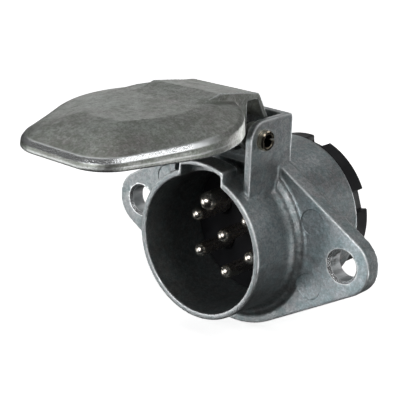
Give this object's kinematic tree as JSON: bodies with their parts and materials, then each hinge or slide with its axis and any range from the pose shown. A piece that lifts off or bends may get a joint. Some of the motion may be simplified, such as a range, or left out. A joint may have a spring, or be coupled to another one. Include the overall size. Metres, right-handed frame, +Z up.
{
  "type": "trailer wiring socket",
  "caption": "Panel-mount die-cast socket with a keyed round barrel, round-ended contacts in a black carrier, a two-ear flange, a rear retaining ring and a hinged lid held open.",
  "frame": {"origin": "centre of the flange's back face, on the barrel's axis, in the plane of the panel", "axes": "+X to the right seen from the mating side, +Y into the panel along the barrel's axis, +Z up towards the hinge"},
  "size_m": [0.1082, 0.1232, 0.0875],
  "materials": {
    "cast_metal": "as-cast, lightly mottled grey",
    "plated_steel": "nickel-plated steel, slightly warm",
    "spring_steel": "dark drawn wire",
    "contact_metal": "bright nickel plate",
    "black_plastic": "black glass-filled moulding",
    "seal_rubber": "black moulded rubber"
  },
  "bodies": {
    "socket": {"housing": "cast_metal", "hinge_pin": "plated_steel", "lid_spring": "spring_steel", "insert": "black_plastic", "retaining_ring": "black_plastic", "contact_1": "contact_metal", "terminal_screw_1": "plated_steel", "contact_2": "contact_metal", "terminal_screw_2": "plated_steel", "contact_3": "contact_metal", "terminal_screw_3": "plated_steel", "contact_4": "contact_metal", "terminal_screw_4": "plated_steel", "contact_5": "contact_metal", "terminal_screw_5": "plated_steel", "contact_6": "contact_metal", "terminal_screw_6": "plated_steel", "contact_7": "contact_metal", "terminal_screw_7": "plated_steel"},
    "lid": {"lid": "cast_metal", "lid_gasket": "seal_rubber"}
  },
  "joints": [
    {"name": "lid_hinge", "type": "hinge", "parent": "socket", "child": "lid", "pos_m": [0, -0.0148, 0.0375], "axis": [1, 0, 0], "range_deg": [-10, 88], "deforming": ["lid_spring"]}
  ]
}
